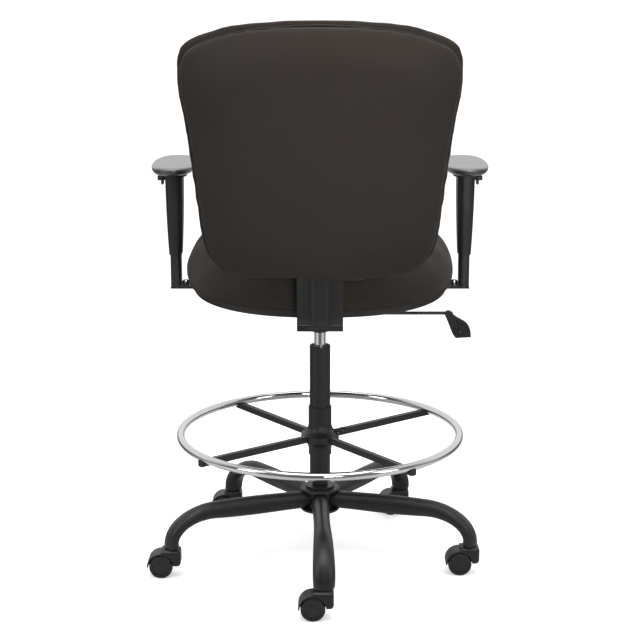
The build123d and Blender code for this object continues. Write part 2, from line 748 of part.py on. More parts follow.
def arm_bracket():
    """Flat bar under the seat with the oblong post that it carries, welded together."""
    foot = slab(bracket_inner_x, arm_x + post_wide / 2, arm_y - bracket_wide / 2,
                arm_y + bracket_wide / 2, -bracket_thick, 0)
    foot = seat_frame_at() * fillet(foot.edges().filter_by(Axis.Y), 1.5)
    base = seat_under_z - arm_y * tan(radians(seat_slope)) - bracket_thick / 2
    post = Pos(arm_x, arm_y, base - 8) * extrude(oblong(post_wide, post_deep), post_top_z - base + 8)
    post -= seat_frame_at() * slab(0, 900, -500, 500, -400, -bracket_thick + 1)
    hollow = oblong(post_wide - 2 * post_wall, post_deep - 2 * post_wall)
    post -= Pos(arm_x, arm_y, base + 10) * extrude(hollow, 400)
    arm = foot + post
    for x in (arm_bolt_x, arm_bolt_outer_x):
        arm -= seat_frame_at() * cyl(seat_bolt_radius, -30, 10, x, arm_y)
    return arm - seat_frame_at() * cyl(seat_bolt_radius, -30, 10, dome_x, arm_y)


def dome_bolt(side):
    """Zinc-plated bolt with a domed cap between the seat and the post, and its nut below."""
    cap = cyl(7.5, 0, 11, side * dome_x, arm_y)
    cap = fillet(cap.edges().group_by(Axis.Z)[-1], 5.0)
    shank = cyl(seat_bolt_radius, -bracket_thick, 0, side * dome_x, arm_y)
    nut = cyl(6.0, -bracket_thick - 5, -bracket_thick, side * dome_x, arm_y)
    return seat_frame_at() * (cap + shank + nut)


def arm_sleeve():
    """Moulded outer sleeve that slides on the post and carries the pad."""
    foot = Pos(arm_x, arm_y, sleeve_low_z) * oblong(sleeve_foot_wide, sleeve_foot_deep)
    waist = Pos(arm_x, arm_y, sleeve_low_z + 14) * oblong(sleeve_foot_wide + 1.5, sleeve_foot_deep + 2)
    head = Pos(arm_x, arm_y, sleeve_high_z) * oblong(sleeve_head_wide, sleeve_head_deep)
    body = loft([foot, waist, head])
    flange = Pos(arm_x, pad_back_y - pad_long / 2, sleeve_high_z) * oblong(pad_wide - 44, pad_long - 90)
    body += extrude(flange, sleeve_flange)
    bore = oblong(post_wide + 2 * slide_clearance, post_deep + 2 * slide_clearance)
    body -= Pos(arm_x, arm_y, sleeve_low_z - 1) * extrude(bore, sleeve_high_z - sleeve_low_z - 4)
    window = button_wide / 2 - 4
    low = sleeve_high_z - button_tall - 3
    return body - slab(arm_x, arm_x + 60, arm_y - window, arm_y + window, low, low + button_tall + 1)


def arm_button():
    """Push button in the sleeve's outer wall, with a drooping finger tab."""
    stem_x = arm_x + post_wide / 2 + slide_clearance + 3.2
    face_x = arm_x + sleeve_head_wide / 2 + 1
    low = sleeve_high_z - button_tall - 2.5
    half = button_wide / 2 - 4.5
    stem = slab(stem_x, face_x + 2, arm_y - half, arm_y + half, low, low + button_tall)
    cap = slab(face_x + 2.5 + 1, face_x + button_reach, arm_y - button_wide / 2, arm_y + button_wide / 2,
               low, low + button_tall)
    cap = fillet(cap.edges().filter_by(Axis.Z), 4.0)
    link = slab(face_x + 1, face_x + 6, arm_y - half, arm_y + half, low, low + button_tall)
    nub = slab(face_x + 4, face_x + 10, arm_y - half, arm_y + half, low - 11, low + 1)
    nub = fillet(nub.edges().filter_by(Axis.Y).group_by(Axis.Z)[0], 2.5)
    return stem + cap + link + nub


def arm_pad():
    """Soft pad on the sleeve's flange."""
    low = sleeve_high_z + sleeve_flange
    y = pad_back_y - pad_long / 2
    pad = Pos(arm_x + 3, y, low) * extrude(RectangleRounded(pad_wide, pad_long, pad_wide * 0.46), pad_thick)
    pad = fillet(pad.edges().group_by(Axis.Z)[-1], 9.0)
    return fillet(pad.edges().group_by(Axis.Z)[0], 5.0)


def build_base():
    save("hub_tube", hub())
    save("hub_plates", *hub_plates())
    sockets, stems = [], []
    leg_piece, hood_piece, socket_piece = leg(), hood(), socket()
    wheel_pieces = (wheel(-1), wheel(1), wheel_axle())
    for index in range(leg_count):
        turn = leg_turn + index * 360 / leg_count
        spot = Rot(0, 0, turn) * Pos(caster_radius, 0, 0)
        x, y = spot.position.X, spot.position.Y
        save(f"leg_{index + 1}", Rot(0, 0, turn) * leg_piece)
        sockets.append(spot * Rot(0, 0, 90) * socket_piece)
        stems.append(Pos(x, y, 0) * caster_stem())
        save(f"caster_{index + 1}_hood", Pos(x, y, 0) * hood_piece)
        save(f"caster_{index + 1}_wheels", *[Pos(x, y, 0) * piece for piece in wheel_pieces])
    save("caster_sockets", *sockets)
    save("caster_stems", *stems)


def build_column():
    save("column_tube", column_tube())
    save("guide_bushing", guide_bushing())
    save("gas_cylinder", gas_cylinder())
    save("piston_rod", piston_rod())
    save("rod_clip", rod_clip())
    save("thrust_bearing", thrust_bearing())
    save("release_pin", release_pin())


def build_foot_ring():
    save("foot_ring", foot_ring())
    save("ring_spokes", *[spoke(spoke_turn + 90 * step) for step in range(4)])
    save("ring_collar", ring_collar())
    save("ring_screw", ring_screw())


def build_mechanism():
    save("mechanism_housing", housing())
    save("lever_rocker", lever_rocker())
    save("lever_rod", lever_rod())
    save("lever_paddle", lever_paddle())
    save("seat_plate", seat_plate())
    save("tilt_axle", tilt_axle())
    save("tension_bolt", tension_bolt())
    save("tension_knob", tension_knob())
    save("tension_spring", tension_spring())


def build_seat_and_back():
    save("seat_shell", seat_shell())
    save("seat_board", seat_board())
    save("seat_cushion", seat_cushion())
    save("seat_bolts", *seat_bolts())
    save("back_bar", back_bar())
    save("bar_rib", bar_rib())
    save("ratchet_carrier", ratchet_carrier())
    save("back_board", back_board())
    save("back_cushion", back_cushion())
    save("back_cover", back_cover())


def build_arms():
    for side, name in ((1, "left"), (-1, "right")):
        for node, make in (("arm_bracket", arm_bracket), ("arm_sleeve", arm_sleeve),
                           ("arm_button", arm_button), ("arm_pad", arm_pad)):
            piece = make()
            save(f"{name}_{node}", piece if side > 0 else mirror(piece, Plane.YZ))
    save("dome_bolts", dome_bolt(1), dome_bolt(-1))


os.makedirs("parts", exist_ok=True)
build_base()
build_column()
build_foot_ring()
build_mechanism()
build_seat_and_back()
build_arms()
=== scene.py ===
import json
from math import atan2, cos, pi, radians, sin

import bmesh
import bpy
import numpy as np
from mathutils import Matrix, Vector
from mathutils.bvhtree import BVHTree


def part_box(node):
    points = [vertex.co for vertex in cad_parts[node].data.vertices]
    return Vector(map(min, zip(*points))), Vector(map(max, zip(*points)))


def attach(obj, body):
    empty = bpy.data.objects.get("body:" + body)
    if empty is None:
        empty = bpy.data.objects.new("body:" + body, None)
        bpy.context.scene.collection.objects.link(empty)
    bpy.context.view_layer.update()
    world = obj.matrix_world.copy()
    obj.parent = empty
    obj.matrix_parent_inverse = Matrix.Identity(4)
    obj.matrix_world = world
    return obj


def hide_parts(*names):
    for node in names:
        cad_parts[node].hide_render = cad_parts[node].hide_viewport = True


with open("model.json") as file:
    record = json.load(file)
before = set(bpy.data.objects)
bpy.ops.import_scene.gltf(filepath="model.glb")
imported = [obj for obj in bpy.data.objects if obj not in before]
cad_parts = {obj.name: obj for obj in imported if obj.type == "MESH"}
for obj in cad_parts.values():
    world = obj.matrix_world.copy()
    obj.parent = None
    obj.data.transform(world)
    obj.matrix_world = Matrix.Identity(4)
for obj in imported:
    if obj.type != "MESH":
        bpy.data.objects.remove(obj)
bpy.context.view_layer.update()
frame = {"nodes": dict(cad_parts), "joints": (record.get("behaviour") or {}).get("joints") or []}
nodes = frame["nodes"]


# ---- Hub and legs -----------------------------------------------------------------------
# Five oval steel tubes, bent down at the ends and welded round a hub tube between two pressed
# discs. The whole base is powder coated in one go, so its finish is a fine, slightly uneven satin.

def add(tree, kind, sockets=None, **settings):
    """Adds a shader node; a socket takes a constant or another node's output."""
    made = tree.nodes.new("ShaderNode" + kind)
    for key, value in settings.items():
        setattr(made, key, value)
    for key, value in (sockets or {}).items():
        if isinstance(value, bpy.types.NodeSocket):
            tree.links.new(value, made.inputs[key])
        else:
            made.inputs[key].default_value = value
    return made


def effect(name, inputs, outputs):
    """An empty shader node group with named number inputs and outputs."""
    tree = bpy.data.node_groups.new(name, "ShaderNodeTree")
    for label, value in inputs.items():
        socket = tree.interface.new_socket(label, in_out="INPUT", socket_type="NodeSocketFloat")
        socket.default_value = value
    for label in outputs:
        tree.interface.new_socket(label, in_out="OUTPUT", socket_type="NodeSocketFloat")
    return tree, tree.nodes.new("NodeGroupInput").outputs, tree.nodes.new("NodeGroupOutput").inputs


def calc(tree, operation, a, b=0.0, c=0.0):
    """A sum, product or other arithmetic on shader values."""
    return add(tree, "Math", {0: a, 1: b, 2: c}, operation=operation).outputs[0]


def fine_grain():
    """Two sizes of noise: Height for the relief and Patch for slow changes of gloss."""
    sizes = {"Scale": 600.0, "Patch scale": 14.0}
    tree, given, out = effect("fine grain", sizes, ("Height", "Patch"))
    place = add(tree, "TexCoord").outputs["Object"]
    small = add(tree, "TexNoise", {"Vector": place, "Scale": given["Scale"], "Detail": 2.0})
    large = add(tree, "TexNoise", {"Vector": place, "Scale": given["Patch scale"], "Detail": 4.0})
    tree.links.new(small.outputs["Fac"], out["Height"])
    tree.links.new(large.outputs["Fac"], out["Patch"])
    return tree


def up_facing_dust_and_highlight():
    """Mask of patches on faces that look up: dust, and on the arm pads a painted highlight too."""
    tree, given, out = effect("settled dust and painted highlight", {"Amount": 0.3}, ("Mask",))
    place = add(tree, "TexCoord").outputs["Object"]
    speck = add(tree, "TexNoise", {"Vector": place, "Scale": 45.0, "Detail": 6.0}).outputs["Fac"]
    normal = add(tree, "NewGeometry").outputs["Normal"]
    up = add(tree, "SeparateXYZ", {0: normal}).outputs["Z"]
    facing = add(tree, "MapRange", {"Value": up, "From Min": 0.35, "From Max": 1.0}).outputs[0]
    patchy = add(tree, "MapRange", {"Value": speck, "From Min": 0.4, "From Max": 0.75}).outputs[0]
    mask = calc(tree, "MULTIPLY", calc(tree, "MULTIPLY", facing, patchy), given["Amount"])
    tree.links.new(mask, out["Mask"])
    return tree


def rubbed_edge():
    """Mask of the edges that hands and shoes have rubbed, broken up by noise."""
    tree, given, out = effect("rubbed edge", {"Radius": 0.0015, "Amount": 0.5}, ("Mask",))
    soft = add(tree, "Bevel", {"Radius": given["Radius"]}, samples=4).outputs["Normal"]
    sharp = add(tree, "NewGeometry").outputs["Normal"]
    same = add(tree, "VectorMath", {0: soft, 1: sharp}, operation="DOT_PRODUCT").outputs["Value"]
    edge = add(tree, "MapRange", {"Value": same, "From Min": 0.99, "From Max": 0.82}).outputs[0]
    place = add(tree, "TexCoord").outputs["Object"]
    speck = add(tree, "TexNoise", {"Vector": place, "Scale": 120.0, "Detail": 5.0}).outputs["Fac"]
    broken = add(tree, "MapRange", {"Value": speck, "From Min": 0.42, "From Max": 0.68}).outputs[0]
    mask = calc(tree, "MULTIPLY", calc(tree, "MULTIPLY", edge, broken), given["Amount"])
    tree.links.new(mask, out["Mask"])
    return tree


# The up-facing mask lays dust, except on the arm pads, where it also paints a highlight.
grain_group, dust_and_highlight_group, edge_group = fine_grain(), up_facing_dust_and_highlight(), rubbed_edge()
grey_dust = (0.08, 0.076, 0.072, 1)
rubbed_grey = (0.05, 0.05, 0.05, 1)


def group(tree, made, **values):
    """Places one of the shared effects in a material with its own values."""
    placed = tree.nodes.new("ShaderNodeGroup")
    placed.node_tree = made
    for key, value in values.items():
        placed.inputs[key.replace("_", " ")].default_value = value
    return placed.outputs


def shade(colour, amount):
    """A colour made lighter or darker, as a socket takes it."""
    return (*[amount * part for part in colour], 1)


def blend_of(tree, share, first, second):
    """The first colour where share is 0, and the second where it is 1."""
    return add(tree, "MixRGB", {0: share, 1: first, 2: second}).outputs[0]


def start_material(name):
    """New material, with its node tree and its Principled shader."""
    made = bpy.data.materials.new(name)
    made.use_nodes = True
    return made, made.node_tree, made.node_tree.nodes["Principled BSDF"]


def hard_finish(name, colour, roughness, grain, relief, edge, dust=0.2):
    """Painted or moulded finish: grain relief, uneven gloss, rubbed edges and a little dust."""
    made, tree, shader = start_material(name)
    fine = group(tree, grain_group, Scale=grain)
    tone = blend_of(tree, fine["Patch"], shade(colour, 0.86), shade(colour, 1.16))
    worn = blend_of(tree, group(tree, edge_group, Amount=edge)["Mask"], tone, rubbed_grey)
    dust_and_highlight_tone = blend_of(tree, group(tree, dust_and_highlight_group, Amount=dust)["Mask"], worn, grey_dust)
    tree.links.new(dust_and_highlight_tone, shader.inputs["Base Color"])
    shader.inputs["Specular IOR Level"].default_value = 0.38
    gloss = add(tree, "MapRange", {"Value": fine["Patch"], "From Min": 0.3, "From Max": 0.7,
                                   "To Min": roughness - 0.05, "To Max": roughness + 0.07})
    tree.links.new(gloss.outputs[0], shader.inputs["Roughness"])
    bump = add(tree, "Bump", {"Height": fine["Height"], "Strength": 0.6, "Distance": relief})
    tree.links.new(bump.outputs[0], shader.inputs["Normal"])
    return made


def dress(material, *names):
    """Gives CAD nodes a material."""
    for name in names:
        mesh = nodes[name].data
        mesh.materials.clear()
        mesh.materials.append(material)


legs = range(1, 6)
powder_coat = hard_finish("satin black powder coat", (0.011, 0.011, 0.0115), roughness=0.40,
                          grain=420.0, relief=0.0002, edge=0.25)
dress(powder_coat, "hub_tube", "hub_plates", *[f"leg_{leg}" for leg in legs])


# ---- Casters ----------------------------------------------------------------------------
# Twin nylon wheels turn on a steel axle under a moulded hood. The hood swivels on a steel stem
# that snaps into a plastic plug in the end of each leg.

moulded_nylon = hard_finish("moulded nylon", (0.012, 0.012, 0.013), roughness=0.27,
                            grain=900.0, relief=0.00006, edge=0.2)
grained_plastic = hard_finish("grained black plastic", (0.008, 0.008, 0.0085), roughness=0.42,
                              grain=700.0, relief=0.00016, edge=0.2, dust=0.15)


def bare_metal(name, colour, roughness, streak=(1.0, 1.0, 12.0), scale=90.0):
    """Turned or plated metal with fine streaks in its gloss."""
    made, tree, shader = start_material(name)
    place = add(tree, "TexCoord").outputs["Object"]
    drawn = add(tree, "Mapping", {"Vector": place, "Scale": streak})
    lines = add(tree, "TexNoise", {"Vector": drawn.outputs[0], "Scale": scale,
                                   "Detail": 5.0}).outputs["Fac"]
    cloud = group(tree, grain_group, Scale=300.0, Patch_scale=30.0)["Patch"]
    tone = blend_of(tree, cloud, shade(colour, 0.88), shade(colour, 1.0))
    tree.links.new(tone, shader.inputs["Base Color"])
    gloss = add(tree, "MapRange", {"Value": lines, "To Min": roughness * 0.6,
                                   "To Max": roughness * 1.5})
    tree.links.new(gloss.outputs[0], shader.inputs["Roughness"])
    bump = add(tree, "Bump", {"Height": lines, "Strength": 0.3, "Distance": 0.00004})
    tree.links.new(bump.outputs[0], shader.inputs["Normal"])
    shader.inputs["Metallic"].default_value = 1.0
    return made


turned_steel = bare_metal("turned steel", (0.56, 0.56, 0.57), roughness=0.32)
dress(grained_plastic, "caster_sockets", *[f"caster_{leg}_hood" for leg in legs])
dress(moulded_nylon, *[f"caster_{leg}_wheels" for leg in legs])
dress(turned_steel, "caster_stems")


# ---- Column and gas lift ----------------------------------------------------------------
# A coated steel tube, swaged into the hub, holds a plastic bushing. The chromed cylinder of the
# gas lift slides in it on a ground rod that stands on a ball bearing.

chrome = bare_metal("bright chrome", (0.62, 0.63, 0.64), roughness=0.07,
                    streak=(1.0, 1.0, 1.0), scale=25.0)
dress(powder_coat, "column_tube")
dress(grained_plastic, "guide_bushing")
dress(chrome, "gas_cylinder", "piston_rod")
dress(turned_steel, "rod_clip", "thrust_bearing", "release_pin")


# ---- Foot ring --------------------------------------------------------------------------
# A chromed ring rests on four square spokes, whose inner ends are welded to a flared collar.
# The collar slides on the column and is held by one clamping screw.

dress(chrome, "foot_ring")
dress(powder_coat, "ring_spokes", "ring_collar", "ring_screw")


# ---- Tilt mechanism ---------------------------------------------------------------------
# A pressed steel housing is wedged on the gas lift. The seat plate rocks on its axle against a
# coil spring, which the knob below preloads, and a lever in a rocker presses the gas valve.

spring_steel = bare_metal("oiled spring steel", (0.20, 0.20, 0.21), roughness=0.35)
zinc_plate = bare_metal("zinc plate", (0.66, 0.66, 0.67), roughness=0.24, scale=60.0)
dress(powder_coat, "mechanism_housing", "seat_plate", "lever_rod")
dress(zinc_plate, "tilt_axle", "tension_bolt", "seat_bolts", "dome_bolts")
dress(spring_steel, "tension_spring")
dress(grained_plastic, "tension_knob", "lever_rocker")
dress(moulded_nylon, "lever_paddle")


# ---- Back upright -----------------------------------------------------------------------
# A wide bar, bent like a J, is bolted under the seat plate. A raised channel with two pressed
# beads runs down its rear face and carries on up into the back.

dress(powder_coat, "back_bar", "bar_rib", "ratchet_carrier")


# ---- Seat -------------------------------------------------------------------------------
# A plywood board lies in a moulded shell and carries a thick foam pad under a tight woven
# cover. The cover is drawn round the pad's lower edge, where a hem runs just over the shell.

seat_slope = radians(4)
voxel = 0.006
sim_frames = 20
lint = (0.09, 0.08, 0.07, 1)


def woven():
    """Height and tone of a plain weave whose threads run along all three axes."""
    tree, given, out = effect("plain weave", {"Pitch": 0.0016}, ("Height", "Tone"))
    place = add(tree, "TexCoord").outputs["Object"]
    axes = add(tree, "SeparateXYZ", {0: place}).outputs
    turn = calc(tree, "DIVIDE", 2 * pi, given["Pitch"])
    waves = [calc(tree, "SINE", calc(tree, "MULTIPLY", axes[k], turn)) for k in range(3)]
    over = calc(tree, "MULTIPLY", waves[0], waves[1])
    side = calc(tree, "MULTIPLY", waves[0], waves[2])
    along = calc(tree, "MULTIPLY", waves[1], waves[2])
    total = calc(tree, "ADD", calc(tree, "ADD", over, side), along)
    tree.links.new(calc(tree, "MULTIPLY_ADD", total, 0.3, 0.5), out["Height"])
    cloud = add(tree, "TexNoise", {"Vector": place, "Scale": 9.0, "Detail": 8.0, "Roughness": 0.65})
    tree.links.new(cloud.outputs["Fac"], out["Tone"])
    return tree


weave_group = woven()


def cloth_finish(name, colour):
    """Tight dark upholstery: weave relief, cloudy tone, a soft sheen and painted thread highlights.
    """
    made, tree, shader = start_material(name)
    threads = group(tree, weave_group)
    tone = blend_of(tree, threads["Tone"], shade(colour, 0.80), shade(colour, 1.22))
    # Raised threads are painted up to half as light again: a painted highlight on their crowns.
    painted_thread_highlight = blend_of(tree, threads["Height"], tone, shade(colour, 1.5))
    dust_and_highlight_tone = blend_of(tree, group(tree, dust_and_highlight_group, Amount=0.08)["Mask"], painted_thread_highlight, lint)
    tree.links.new(dust_and_highlight_tone, shader.inputs["Base Color"])
    gloss = add(tree, "MapRange", {"Value": threads["Tone"], "To Min": 0.74, "To Max": 0.92})
    tree.links.new(gloss.outputs[0], shader.inputs["Roughness"])
    bump = add(tree, "Bump", {"Height": threads["Height"], "Strength": 0.5, "Distance": 0.0004})
    tree.links.new(bump.outputs[0], shader.inputs["Normal"])
    shader.inputs["Specular IOR Level"].default_value = 0.14
    shader.inputs["Sheen Weight"].default_value = 0.05
    shader.inputs["Sheen Roughness"].default_value = 0.5
    return made


upholstery = cloth_finish("black woven upholstery", (0.0150, 0.0120, 0.0098))


def settle(piece):
    """Applies every modifier on a piece."""
    graph = bpy.context.evaluated_depsgraph_get()
    graph.update()
    mesh = bpy.data.meshes.new_from_object(piece.evaluated_get(graph))
    piece.modifiers.clear()
    piece.data = mesh


def copy_form(name, node):
    """New piece with a CAD pad's form, remeshed into even quads."""
    piece = bpy.data.objects.new(name, nodes[node].data.copy())
    bpy.context.scene.collection.objects.link(piece)
    remesh = piece.modifiers.new("even quads", "REMESH")
    remesh.mode = "VOXEL"
    remesh.voxel_size = voxel
    settle(piece)
    return piece


def points_of(piece):
    """A mesh's points as rows of an array."""
    got = np.empty(len(piece.data.vertices) * 3)
    piece.data.vertices.foreach_get("co", got)
    return got.reshape(-1, 3)


def move_points(piece, points):
    """Puts rows of an array back as the mesh's points."""
    piece.data.vertices.foreach_set("co", points.ravel())
    piece.data.update()


def turn_matrix(angle):
    """Rotation about X. Points @ its transpose are level, and level points @ it lean again."""
    return np.array(Matrix.Rotation(angle, 3, "X"))


def ramp(value, low, high):
    """Rises smoothly from 0 at low to 1 at high."""
    share = np.clip((value - low) / (high - low), 0, 1)
    return share * share * (3 - 2 * share)


def eased(piece, points, free, rounds):
    """Draws a cover tight: each point nears its neighbours as far as free, from 0 to 1, lets it."""
    ends = np.empty(len(piece.data.edges) * 2, dtype=np.int64)
    piece.data.edges.foreach_get("vertices", ends)
    first, second = ends[0::2], ends[1::2]
    count = np.bincount(ends, minlength=len(points))[:, None]
    for _ in range(rounds):
        total = np.stack([np.bincount(first, points[second, axis], len(points))
                          + np.bincount(second, points[first, axis], len(points))
                          for axis in range(3)], axis=1)
        points = points + free[:, None] * (total / count - points) / 2
    return points


def plump(piece, rise, seam_end, pressure, cap, rounds, keep):
    """Swells a sewn form by inner pressure and draws its cover tight.

    rise runs from 0 at the sewn edge to 1 at the crown, and the form is sewn down below seam_end.
    No point travels further than cap before the cover is eased, and keep names the axes along
    which the pad ends as large as it was cut.
    """
    start = points_of(piece)
    seam = piece.vertex_groups.new(name="seam")
    for index in np.nonzero(rise < seam_end)[0]:
        seam.add([int(index)], 1.0, "REPLACE")
    cloth = piece.modifiers.new("swell", "CLOTH")
    fabric = cloth.settings
    fabric.quality = 5
    fabric.mass = 0.25
    fabric.tension_stiffness = 18
    fabric.compression_stiffness = 18
    fabric.shear_stiffness = 6
    fabric.bending_stiffness = 1.5
    fabric.use_pressure = True
    fabric.uniform_pressure_force = pressure
    fabric.effector_weights.gravity = 0
    fabric.vertex_group_mass = "seam"
    cloth.point_cache.frame_start = 1
    cloth.point_cache.frame_end = sim_frames
    for step in range(1, sim_frames + 1):
        bpy.context.scene.frame_set(step)
    settle(piece)
    bpy.context.scene.frame_set(1)
    way = points_of(piece) - start
    length = np.linalg.norm(way, axis=1, keepdims=True)
    end = start + way * np.minimum(1, cap / np.maximum(length, 1e-9))
    free_at_seam = 0.35
    free = free_at_seam + (1 - free_at_seam) * ramp(rise, 0.02, 0.25)
    end = eased(piece, end, free, rounds)
    for axis in keep:
        low, high = start[:, axis].min(), start[:, axis].max()
        new_low, new_high = end[:, axis].min(), end[:, axis].max()
        end[:, axis] = low + (end[:, axis] - new_low) * (high - low) / (new_high - new_low)
    move_points(piece, end)


def finish_pad(piece, material, node, body):
    """Subdivides and smooths a piece, gives it a material and a body, and hides the CAD node."""
    piece.modifiers.new("smooth", "SUBSURF").levels = 1
    settle(piece)
    piece.data.polygons.foreach_set("use_smooth", [True] * len(piece.data.polygons))
    piece.data.materials.clear()
    piece.data.materials.append(material)
    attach(piece, body)
    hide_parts(node)


def ring_on(piece, turn, centre, flat, level, steps=360):
    """Points round a piece, from rays that run inwards along a plane of its own level frame.

    flat names the two axes of that plane, and level is its place along the third.
    """
    graph = bpy.context.evaluated_depsgraph_get()
    tree = BVHTree.FromObject(piece, graph)
    third = 3 - flat[0] - flat[1]
    hits = []
    for step in range(steps):
        angle = 2 * pi * step / steps
        way = np.zeros(3)
        way[flat[0]], way[flat[1]] = cos(angle), sin(angle)
        start = np.array(centre, float)
        start[third] = level
        start += way
        found = tree.ray_cast(Vector(start @ turn), Vector(-way @ turn))[0]
        if found is not None:
            hits.append(np.array(found))
    return np.array(hits)


def along_ring(points, spacing):
    """The ring's points again, evenly spaced, and the direction along it at each."""
    closed = np.vstack([points, points[:1]])
    gaps = np.linalg.norm(np.diff(closed, axis=0), axis=1)
    run = np.concatenate([[0], np.cumsum(gaps)])
    count = int(run[-1] / spacing)
    places = np.linspace(0, run[-1], count, endpoint=False)
    even = np.stack([np.interp(places, run, closed[:, k]) for k in range(3)], axis=1)
    ahead = np.roll(even, -1, axis=0) - np.roll(even, 1, axis=0)
    return even, ahead / np.linalg.norm(ahead, axis=1, keepdims=True)


def new_piece(name, mesh, material, body):
    """Turns a bmesh into a smooth piece that rides on a body."""
    piece = bpy.data.objects.new(name, bpy.data.meshes.new(name))
    mesh.to_mesh(piece.data)
    mesh.free()
    piece.data.polygons.foreach_set("use_smooth", [True] * len(piece.data.polygons))
    piece.data.materials.append(material)
    bpy.context.scene.collection.objects.link(piece)
    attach(piece, body)
    return piece


def welt(name, ring, radius, material, body, sides=10, spacing=0.006):
    """Covered cord sewn into a seam, as a closed tube along a ring of points."""
    even, ahead = along_ring(ring, spacing)
    inward = even.mean(axis=0) - even
    turns = [2 * pi * k / sides for k in range(sides)]
    mesh = bmesh.new()
    loops = []
    for point, way, inner in zip(even, ahead, inward):
        side = inner - way * np.dot(inner, way)
        side /= np.linalg.norm(side)
        up = np.cross(way, side)
        loops.append([mesh.verts.new(point + radius * (cos(turn) * side + sin(turn) * up))
                      for turn in turns])
    for loop, after in zip(loops, loops[1:] + loops[:1]):
        for k in range(sides):
            nearby = (k + 1) % sides
            mesh.faces.new((loop[k], after[k], after[nearby], loop[nearby]))
    bmesh.ops.recalc_face_normals(mesh, faces=mesh.faces)
    return new_piece(name, mesh, material, body)


def stitches(name, ring, material, body, spacing=0.0065, length=0.0042, thread=0.0007):
    """Row of short thread beads lying on a seam."""
    even, ahead = along_ring(ring, spacing)
    mesh = bmesh.new()
    for point, way in zip(even, ahead):
        turn = Vector(way).to_track_quat("Z", "Y").to_matrix().to_4x4()
        size = Matrix.Diagonal((thread, thread, length / 2, 1))
        bmesh.ops.create_uvsphere(mesh, u_segments=8, v_segments=6, radius=1.0,
                                  matrix=Matrix.Translation(point) @ turn @ size)
    return new_piece(name, mesh, material, body)


thread_finish = cloth_finish("black bonded thread", (0.026, 0.023, 0.020))
dress(grained_plastic, "seat_shell")

# The pad's top: a crown, a dish to sit in and a front that falls away. Its wall: a belly halfway
# up and a tuck towards the hem.
corner_power = 2.5
crown, dish_depth, front_drop = 0.010, 0.012, 0.030
belly_out, tuck_in = 0.004, 0.003

seat_pad = copy_form("seat_pad_cover", "seat_cushion")
to_seat = turn_matrix(seat_slope)
seat_points = points_of(seat_pad) @ to_seat.T
seat_low, seat_high = seat_points.min(axis=0), seat_points.max(axis=0)
seat_half = (seat_high[0] - seat_low[0]) / 2
seat_middle = (seat_high[1] + seat_low[1]) / 2
seat_reach = (seat_high[1] - seat_low[1]) / 2
height = (seat_points[:, 2] - seat_low[2]) / (seat_high[2] - seat_low[2])
across = seat_points[:, 0] / seat_half
along = (seat_points[:, 1] - seat_middle) / seat_reach
plan = (np.abs(across) ** corner_power + np.abs(along) ** corner_power) ** (1 / corner_power)
top = ramp(height, 0.45, 0.95)
wall = ramp(plan, 0.7, 1.0)
dish = dish_depth * np.exp(-(across / 0.5) ** 2 - ((along - 0.15) / 0.45) ** 2)
fall = front_drop * ramp(-along, 0.55, 1.05)
seat_points[:, 2] += top * (crown * (1 - plan ** 2) - dish - fall)
belly = belly_out * np.exp(-((height - 0.5) / 0.28) ** 2) * wall
tuck = tuck_in * ramp(1 - height, 0.65, 1.0) * wall
outward = np.stack([across, along], axis=1)
outward /= np.maximum(np.linalg.norm(outward, axis=1, keepdims=True), 1e-6)
seat_points[:, :2] += outward * (belly - tuck)[:, None]
move_points(seat_pad, seat_points @ to_seat)
plump(seat_pad, height, seam_end=0.16, pressure=4.0, cap=0.022, rounds=55, keep=(0, 1))
finish_pad(seat_pad, upholstery, "seat_cushion", "seat")

# The hem's roll hides the board's edge, and two rows of stitches run above it.
hem_roll, hem_share, row_gap = 0.005, 0.14, 0.006
seat_centre = (0.0, seat_middle, 0.0)
hem_ring = ring_on(seat_pad, to_seat, seat_centre, (0, 1), seat_low[2] + hem_roll)
welt("seat_hem_roll", hem_ring, hem_roll, upholstery, "seat")
hem_level = seat_low[2] + hem_share * (seat_high[2] - seat_low[2])
for row in range(2):
    above = ring_on(seat_pad, to_seat, seat_centre, (0, 1), hem_level + row * row_gap)
    stitches(f"seat_stitches_{row + 1}", above, thread_finish, "seat")


# ---- Back -------------------------------------------------------------------------------
# A moulded board is sandwiched between a deep foam pad, shaped for the small of the back, and a
# thinner rear pad that hides the ratchet. Each has its own cover, and the two meet in a seam.

up = next(joint["axis"] for joint in frame["joints"] if joint["name"] == "back_height")
back_lean = atan2(up[1], up[2])
to_back = turn_matrix(back_lean)


def back_shape(name, node, forward):
    """Remeshed back pad with its points in the leaning frame, and its depth and plan shares."""
    piece = copy_form(name, node)
    points = points_of(piece) @ to_back.T
    low, high = points.min(axis=0), points.max(axis=0)
    depth = (points[:, 1] - low[1]) / (high[1] - low[1])
    depth = 1 - depth if forward else depth
    across = points[:, 0] / high[0]
    rise = (points[:, 2] - low[2]) / (high[2] - low[2])
    return piece, points, depth, across, rise


# The front pad bulges at the small of the back, and is hollowed above it along the spine.
bulge, hollow = 0.016, 0.006
shape = back_shape("back_pad_cover", "back_cushion", forward=True)
back_pad, back_points, depth, across, rise = shape
small_of_back = bulge * np.exp(-((rise - 0.32) / 0.22) ** 2) * (1 - across ** 2)
spine = hollow * np.exp(-(across / 0.35) ** 2) * ramp(rise, 0.5, 0.9)
back_points[:, 1] -= ramp(depth, 0.4, 1.0) * (small_of_back - spine)
move_points(back_pad, back_points @ to_back)
plump(back_pad, depth, seam_end=0.10, pressure=2.5, cap=0.014, rounds=70, keep=(0, 2))
finish_pad(back_pad, upholstery, "back_cushion", "back")

